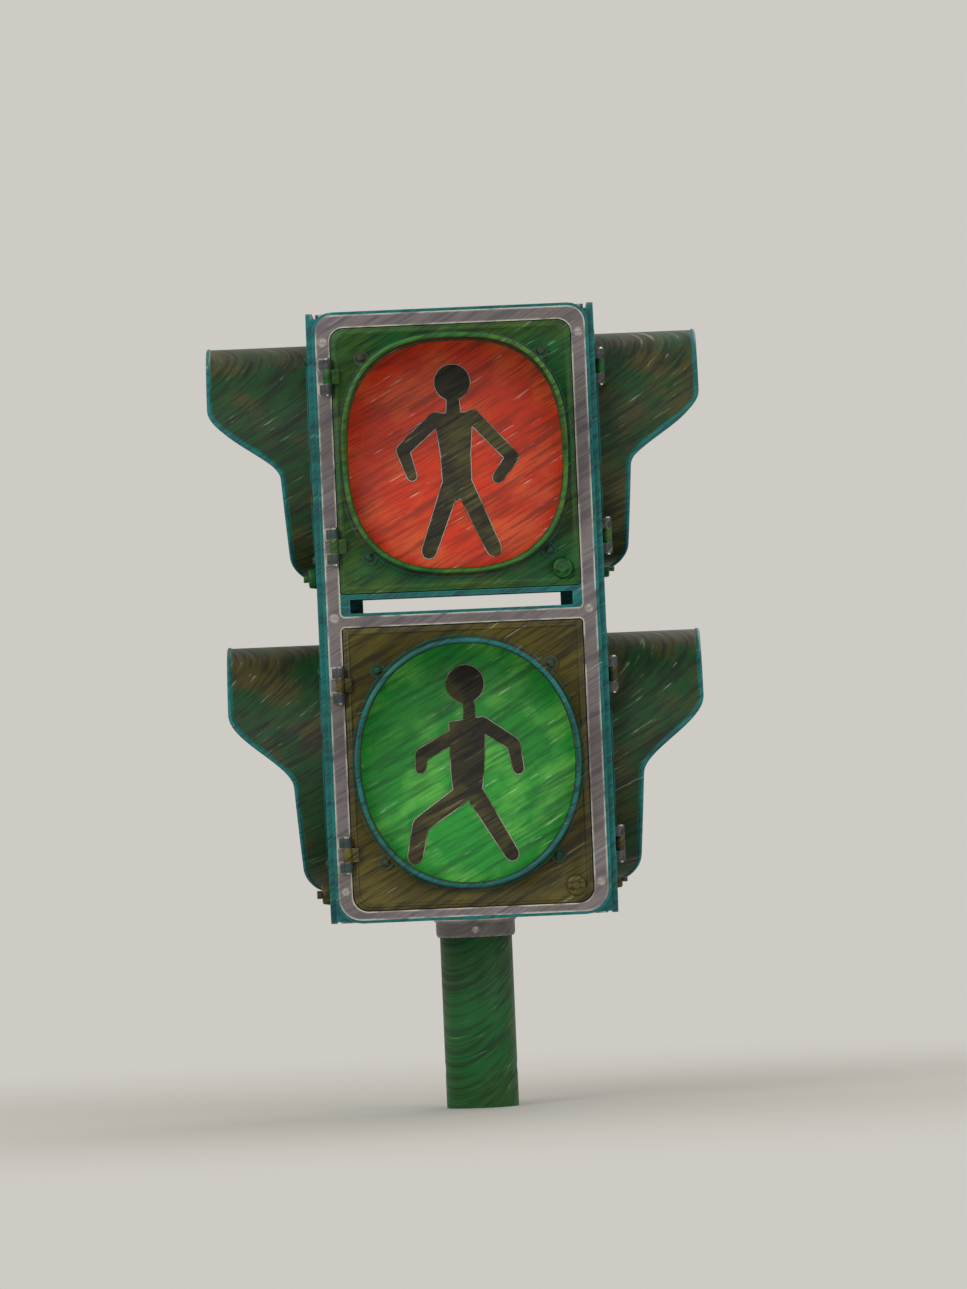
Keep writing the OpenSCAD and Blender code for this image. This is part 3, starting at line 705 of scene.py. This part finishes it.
def lens_moulding(section):
    """A lens: a dome ring by ring inwards from its outline, given its wall, and the flange round it."""
    bpy.ops.mesh.primitive_circle_add(vertices=LENS_SIDES, radius=1, rotation=(math.pi / 2, 0, 0))
    dome = placed(bpy.context.object)
    bpy.ops.object.mode_set(mode="EDIT")
    bpy.ops.mesh.select_mode(type="EDGE")
    bpy.ops.mesh.select_all(action="SELECT")
    for ring in range(DOME_RINGS, 1, -1):
        bpy.ops.mesh.extrude_region()
        share = (ring - 1) / ring
        bpy.ops.transform.resize(value=(share, 1, share))
    bpy.ops.mesh.edge_face_add()
    bpy.ops.object.mode_set(mode="OBJECT")
    on_lens_outline(dome, section, -0.5 * MM)
    for corner in dome.data.vertices:
        off_axis = math.hypot(corner.co.x, corner.co.z - lens_middle(section))
        corner.co.y = DOME_R - dome_front - math.sqrt(DOME_R ** 2 - off_axis ** 2)
    alone(dome)
    bpy.ops.object.mode_set(mode="EDIT")
    bpy.ops.mesh.select_all(action="SELECT")
    bpy.ops.mesh.normals_make_consistent(inside=False)
    bpy.ops.object.mode_set(mode="OBJECT")
    if dome.data.polygons[0].normal.y > 0:
        dome.data.flip_normals()
    applied(dome, "SOLIDIFY", thickness=LENS_T, offset=-1)
    flange = lens_bar(section, FLANGE_OUT, flange_back, flange_back + LENS_T)
    carve(flange, lens_bar(section, -1.5 * MM, flange_back - PAST, flange_back + PAST))
    together([dome, flange])
    bpy.ops.object.shade_smooth_by_angle(angle=math.radians(30))
    return dome


PRISMS_PER_METRE = 210
LENS_GLOW = 0.16


def stained_lens(name, body, deep, light):
    """Moulded lens plastic, coloured through, with slanting strokes and a lattice of small prisms."""
    resin, links, shader = blank_finish(name)
    broad = brush_strokes(resin, length=70 * MM, width=8 * MM)
    fine = brush_strokes(resin, length=45 * MM, width=2.4 * MM)
    pale = blotches(resin, 50 * MM, 0.48, 0.62, 0.7)
    colour = over(resin, pale, body, light)
    colour = over(resin, stretched(resin, broad, 0.48, 0.63, 0, 0.75), colour, deep)
    colour = over(resin, stretched(resin, fine, 0.50, 0.66, 0, 0.7), colour, deep)
    colour = over(resin, stretched(resin, fine, 0.335, 0.29, 0, 0.6), colour, CHALK)
    links.new(colour, shader.inputs["Base Color"])
    links.new(colour, shader.inputs["Emission Color"])
    shader.inputs["Emission Strength"].default_value = LENS_GLOW
    links.new(stretched(resin, broad, 0.3, 0.7, 0.24, 0.42), shader.inputs["Roughness"])
    shader.inputs["Specular IOR Level"].default_value = 0.4
    shader.inputs["Coat Weight"].default_value = 0.12
    shader.inputs["Coat Roughness"].default_value = 0.15
    place = finish_node(resin, "ShaderNodeTexCoord")
    prisms = finish_node(resin, "ShaderNodeTexVoronoi")
    prisms.inputs["Scale"].default_value = PRISMS_PER_METRE
    prisms.inputs["Randomness"].default_value = 0.0
    links.new(place.outputs["Object"], prisms.inputs["Vector"])
    embossed(resin, prisms.outputs["Distance"], strength=0.16, depth=0.6 * MM)
    return resin


lens_resin = {
    "red": stained_lens("red_lens_resin", chart(196, 48, 12), chart(126, 34, 14), chart(206, 84, 40)),
    "green": stained_lens("green_lens_resin", chart(30, 142, 46), chart(6, 92, 34), chart(96, 184, 72)),
}
# The chalk edges of the figure masks are a painted highlight.
mask_enamel = brushed_enamel(
    "figure_mask_enamel", chart(46, 44, 24), chart(6, 6, 5), chart(84, 80, 40), CHALK, worn_share=0.9,
    edge_share=1.0, edge_width=1.6 * MM)
for section in door_boxes:
    moulding = lens_moulding(section)
    moulding.data.materials.append(lens_resin[section])
    for face, lens in on_each_face(moulding):
        name = section + "_" + face
        ride_as(lens, name + "_lens_moulding", name + "_door", section + "_lens", name + "_lens")
        dressed(name + "_figure", mask_enamel)
        dressed(name + "_lens_seal", rubber)


# ---------------------------------------------------------------- visors
# A sheet aluminium hood round each lens, full length above and cut away below, black inside. A wire
# is rolled into its free edge, painted teal, or moss green on the front red one, and its flange is
# held to the door by four screws through lugs.
VISOR_GAP = 1.5 * MM
VISOR_T = 2.5 * MM
VISOR_FLANGE = 9 * MM
FLANGE_T = 2.5 * MM
LUG_ANGLES = (48, 132, 228, 312)
LUG_OUT = 13 * MM
LUG_R = 7.5 * MM
HEM_R = 2.4 * MM
HOOD_SIDES = 192
LOW_REACH, LOW_TAPER, LEAST_REACH = 42 * MM, 16 * MM, 4 * MM
CUT_FROM, CUT_LENGTH = 0.27, 0.3  # shares of the height, from the top
TAIL = 0.1
visor_enamel = brushed_enamel(
    "visor_enamel", chart(8, 66, 22), chart(12, 22, 12), chart(72, 64, 22), TEAL, worn_share=0.9,
    edge_share=0.9)
visor_lining = brushed_enamel(
    "visor_lining_black", chart(30, 34, 28), chart(16, 18, 16), chart(46, 50, 40), chart(66, 72, 60),
    worn_share=0.6, edge_share=0.5)
hem_enamel = brushed_enamel(
    "hem_enamel", TEAL, chart(4, 58, 70), chart(20, 96, 70), chart(60, 150, 140), worn_share=0.4,
    edge_share=0.6)
moss_hem = brushed_enamel(
    "moss_hem_enamel", chart(40, 112, 30), chart(8, 60, 24), chart(84, 120, 30), MOSS, worn_share=0.7,
    edge_share=0.6)
visor_longest = {section: -door_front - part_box(section + "_front_visor")[0].y for section in door_boxes}


def smooth_step(value):
    """Eases from 0 to 1."""
    held = max(0.0, min(1.0, value))
    return held * held * (3 - 2 * held)


def visor_reach(section, share):
    """How far a visor reaches out of its door at a share of its height, counted from the top."""
    longest = visor_longest[section]
    low = LOW_REACH - LOW_TAPER * share
    cut = low + (longest - low) * (1 - smooth_step((share - CUT_FROM) / CUT_LENGTH))
    past_tail = max(0.0, share - (1 - TAIL)) / TAIL
    return max(LEAST_REACH, cut * math.sqrt(max(0.0, 1 - past_tail ** 2)))


def lug_place(section, angle):
    """Where a lug of a visor's flange is screwed down: across and up."""
    turn = math.radians(angle)
    away = lens_reach(section, LUG_OUT, turn)
    return away * math.cos(turn), lens_middle(section) + away * math.sin(turn)


def visor_hood(section):
    """A visor: a band round the lens cut to its reach, a flange with lugs, and the wired edge."""
    bpy.ops.mesh.primitive_circle_add(vertices=HOOD_SIDES, radius=1, rotation=(math.pi / 2, 0, 0))
    hood = placed(bpy.context.object)
    bpy.ops.object.mode_set(mode="EDIT")
    bpy.ops.mesh.select_mode(type="EDGE")
    bpy.ops.mesh.select_all(action="SELECT")
    bpy.ops.mesh.extrude_region_move(TRANSFORM_OT_translate={"value": (0, -1, 0)})
    bpy.ops.object.mode_set(mode="OBJECT")
    on_lens_outline(hood, section, VISOR_GAP + VISOR_T / 2)
    low, high = lens_boxes[section]
    top = (high.z - low.z) / 2 - FLANGE_OUT + VISOR_GAP + VISOR_T + 1 * MM
    for corner in hood.data.vertices:
        share = (lens_middle(section) + top - corner.co.z) / (2 * top)
        out = visor_reach(section, share) - HEM_R if corner.co.y < -0.5 else 0
        corner.co.y = -door_front - out
    alone(hood)
    bpy.ops.object.mode_set(mode="EDIT")
    bpy.ops.mesh.select_all(action="SELECT")
    bpy.ops.mesh.normals_make_consistent(inside=False)
    pick_edges(hood, lambda edge: edge.is_boundary
               and all(v.co.y < -door_front - WELDED for v in edge.verts))
    bpy.ops.mesh.duplicate()
    bpy.ops.mesh.separate(type="SELECTED")
    bpy.ops.object.mode_set(mode="OBJECT")
    hem = [other for other in bpy.context.selected_objects if other != hood][0]
    wall = hood.data.polygons[0]
    if wall.normal.dot(wall.center - Vector((0, 0, lens_middle(section)))) < 0:
        hood.data.flip_normals()
    hood.data.materials.append(visor_enamel)
    hood.data.materials.append(visor_lining)
    applied(hood, "SOLIDIFY", thickness=VISOR_T, offset=0, material_offset=1)
    flange = lens_bar(section, VISOR_FLANGE, door_front, door_front + FLANGE_T)
    for angle in LUG_ANGLES:
        carve(flange, drum(LUG_R, -door_front - FLANGE_T, -door_front, axis="Y",
                           at=lug_place(section, angle), sides=48), "UNION")
    carve(flange, lens_bar(section, VISOR_GAP, door_front - PAST, door_front + PAST))
    eased(flange, 0.5 * MM)
    flange.data.materials.append(visor_enamel)
    alone(hem)
    bpy.ops.object.convert(target="CURVE")
    hem.data.bevel_depth = HEM_R
    hem.data.bevel_resolution = 3
    bpy.ops.object.convert(target="MESH")
    hem.data.materials.clear()
    hem.data.materials.append(hem_enamel)
    together([hood, flange, hem])
    bpy.ops.object.shade_smooth_by_angle(angle=math.radians(38))
    return hood


def fronted(part, at, out, turn=0.0):
    """Lays an upright part down to point out of the front face, and sets it at its place there."""
    part.data.transform(Matrix.Rotation(math.radians(-90), 4, "X"))
    part.data.transform(Matrix.Rotation(turn, 4, "Y"))
    part.data.transform(Matrix.Translation((at[0], -out, at[1])))
    return part


SLOT_WIDTH = 0.9 * MM


def slotted_head(radius, rise, at, back):
    """A round screw head with a driver's slot, proud of the face, its back on a plane."""
    head = turned([(0, -rise), (radius * 0.55, -rise), (radius * 0.86, -rise * 0.72), (radius, -rise * 0.3),
                   (radius, 0), (0, 0)], sides=32)
    bpy.ops.mesh.primitive_cube_add(size=1, location=(0, 0, -rise), scale=(radius * 2.4, SLOT_WIDTH, rise))
    carve(head, placed(bpy.context.object))
    fronted(head, at, back, turn=at[0] * 97 + at[1] * 61)  # no two slots stand alike
    alone(head)
    bpy.ops.object.shade_smooth_by_angle(angle=math.radians(35))
    return head


VISOR_SCREW_R, VISOR_SCREW_RISE = 3.9 * MM, 2.2 * MM
for section in door_boxes:
    hood = visor_hood(section)
    for face, visor in on_each_face(hood):
        name = section + "_" + face
        if name == "red_front":
            visor.data.materials[list(visor.data.materials).index(hem_enamel)] = moss_hem
        ride_as(visor, name + "_visor_hood", name + "_door", section + "_visor_paint", name + "_visor")
    screws = together([
        slotted_head(VISOR_SCREW_R, VISOR_SCREW_RISE, lug_place(section, angle), door_front + FLANGE_T)
        for angle in LUG_ANGLES])
    screws.data.materials.append(visor_enamel)
    for face, copies in on_each_face(screws):
        name = section + "_" + face
        ride_as(copies, name + "_visor_screws", name + "_door", "steel_fixings")


# ---------------------------------------------------------------- latches
# A quarter-turn knob at the lower right of every door. Its spindle passes through the door and its
# tongue turns behind the case's ledge. Knobs are painted over together with their door.
SPINDLE_R = 4 * MM
SPINDLE_BACK = 17.5 * MM
TONGUE_T = 3 * MM
GRIP_HALF = 9 * MM
for section in door_boxes:
    across, up = latch_place(section)
    knob = fronted(turned([
        (0, -14.2 * MM), (SPINDLE_R, -14.2 * MM), (SPINDLE_R, -9 * MM), (8.2 * MM, -9 * MM),
        (9.5 * MM, -8 * MM), (10.4 * MM, -2 * MM), (9.6 * MM, -0.3 * MM), (SPINDLE_R, -0.3 * MM),
        (SPINDLE_R, SPINDLE_BACK), (0, SPINDLE_BACK)], sides=48), (across, up), door_front)
    grip = plate(across - GRIP_HALF, across + GRIP_HALF, up - 2.5 * MM, up + 2.5 * MM,
                 door_front + 8.5 * MM, door_front + 14 * MM)
    eased(grip, 1.1 * MM, segments=3)
    tongue = plate(across - 15 * MM, across + 5 * MM, up - 4.5 * MM, up + 4.5 * MM,
                   door_front - SPINDLE_BACK - TONGUE_T, door_front - SPINDLE_BACK)
    eased(tongue, 0.6 * MM)
    latch = together([knob, grip, tongue])
    alone(latch)
    bpy.ops.object.shade_smooth_by_angle(angle=math.radians(38))
    latch.data.materials.append(door_enamel[section])
    for face, copy in on_each_face(latch):
        name = section + "_" + face + "_latch"
        ride_as(copy, name + "_knob", name, "latch_metal", name)


# ---------------------------------------------------------------- rear covers
# Two cast covers close the back of the chambers, where the wiring is reached. Each has a raised
# middle that stiffens it, and six round-headed screws through a rubber seal.
COVER_T = 3.5 * MM
COVER_ROUND = 8 * MM
RAISED_ROUND = 12 * MM
RAISED_IN = (28 * MM, 22 * MM)
RAISED_RIM = 10 * MM
SUNK_DEPTH = 1.2 * MM


def rear_casting(node, section):
    """A cover, its middle raised but for a sunk panel, built as a front plate and turned round."""
    low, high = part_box(node)
    in_u, in_z = RAISED_IN
    cover = plate(low.x, high.x, low.z, high.z, low.y, low.y + COVER_T, COVER_ROUND, COVER_ROUND)
    carve(cover, plate(low.x + in_u, high.x - in_u, low.z + in_z, high.z - in_z, low.y + 3 * MM, high.y,
                       RAISED_ROUND, RAISED_ROUND), "UNION")
    in_u, in_z = in_u + RAISED_RIM, in_z + RAISED_RIM
    carve(cover, plate(low.x + in_u, high.x - in_u, low.z + in_z, high.z - in_z, high.y - SUNK_DEPTH,
                       high.y + PAST, COVER_ROUND, COVER_ROUND))
    eased(cover, 0.8 * MM)
    cover.data.transform(Matrix.Rotation(math.pi, 4, "Z"))
    cover.data.materials.append(door_enamel[section])
    ride_as(cover, node + "_casting", "head", section + "_door_paint", node)


rear_casting("upper_rear_cover", "red")
rear_casting("lower_rear_cover", "green")
dressed("rear_cover_seals", rubber)


# ---------------------------------------------------------------- case screws
# Stainless screws hold the frames and the rear covers. The ones in the frames are countersunk flush
# with the casting, the ones in the covers have round heads, and all have a slot for a driver.
SHANK_R = 1.98 * MM
SHANK_END = 11 * MM
SUNK_HEAD_R = 3.9 * MM
COVER_HEAD_R, COVER_HEAD_RISE = 4 * MM, 2.8 * MM
COVER_SCREW_IN = (9.5 * MM, 10 * MM)


def countersunk_screw(at):
    """A screw that lies flush in the front frame."""
    screw = turned([(0, 0), (SUNK_HEAD_R, 0), (SUNK_HEAD_R, 0.3 * MM), (SHANK_R, 2.1 * MM),
                    (SHANK_R, SHANK_END), (0, SHANK_END)], sides=32)
    bpy.ops.mesh.primitive_cube_add(size=1, scale=(9 * MM, 1.1 * MM, 1.8 * MM))
    carve(screw, placed(bpy.context.object))
    return fronted(screw, at, FACE, turn=at[0] * 83 + at[1] * 59)


front_row = together([
    countersunk_screw((side * screw_u, level)) for side in (-1, 1) for level in SCREW_LEVELS])
rows = [row for face, row in on_each_face(front_row)]
cover_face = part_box("upper_rear_cover")[0].y + COVER_T
for node in ("upper_rear_cover", "lower_rear_cover"):
    low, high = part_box(node)
    across = high.x - COVER_SCREW_IN[0]
    for side in (-1, 1):
        for level in (low.z + COVER_SCREW_IN[1], (low.z + high.z) / 2, high.z - COVER_SCREW_IN[1]):
            spot = (side * across, level)
            head = slotted_head(COVER_HEAD_R, COVER_HEAD_RISE, spot, cover_face)
            shank = drum(SHANK_R, -cover_face, -cover_face + SHANK_END, axis="Y", at=spot, sides=24)
            head = together([head, shank])
            head.data.transform(Matrix.Rotation(math.pi, 4, "Z"))
            rows.append(head)
screws = together(rows)
alone(screws)
bpy.ops.object.shade_smooth_by_angle(angle=math.radians(35))
screws.data.materials.append(stainless)
ride_as(screws, "case_screw_set", "head", "steel_fixings", "case_screws")


# ---------------------------------------------------------------- lamps and wiring
# Behind every lens stands a spun reflector, with an opal lamp in a black holder. Leads run from a
# terminal block on a rail at the back to a splice for each level, and on to the three holders.
polished = bare_metal(
    "polished_aluminium", chart(226, 226, 224), chart(196, 198, 200), rough=0.12, grain=20 * MM)
dressed("reflectors", polished)


def moulded_plastic(name, light, dark, rough):
    """Moulded plastic or glass of one colour, faintly clouded."""
    plastic, links, shader = blank_finish(name)
    grain = blotches(plastic, 4 * MM, 0.40, 0.62, 1.0)
    links.new(over(plastic, grain, light, dark), shader.inputs["Base Color"])
    links.new(stretched(plastic, grain, 0, 1, rough, rough + 0.15), shader.inputs["Roughness"])
    return plastic


lamp_glass = moulded_plastic("opal_lamp_glass", chart(244, 238, 220), chart(228, 222, 206), 0.12)
lamp_glass.node_tree.nodes["Principled BSDF"].inputs["Coat Weight"].default_value = 0.6
dressed("lamps", lamp_glass)
dressed("lamp_holders", moulded_plastic("holder_phenolic", chart(40, 34, 32), chart(22, 20, 20), 0.3))
dressed("terminal_block", moulded_plastic("block_ivory", chart(222, 214, 190), chart(200, 192, 168), 0.35))
dressed("wiring_loom", moulded_plastic("lead_insulation_black", chart(34, 34, 36), chart(18, 18, 20), 0.35))
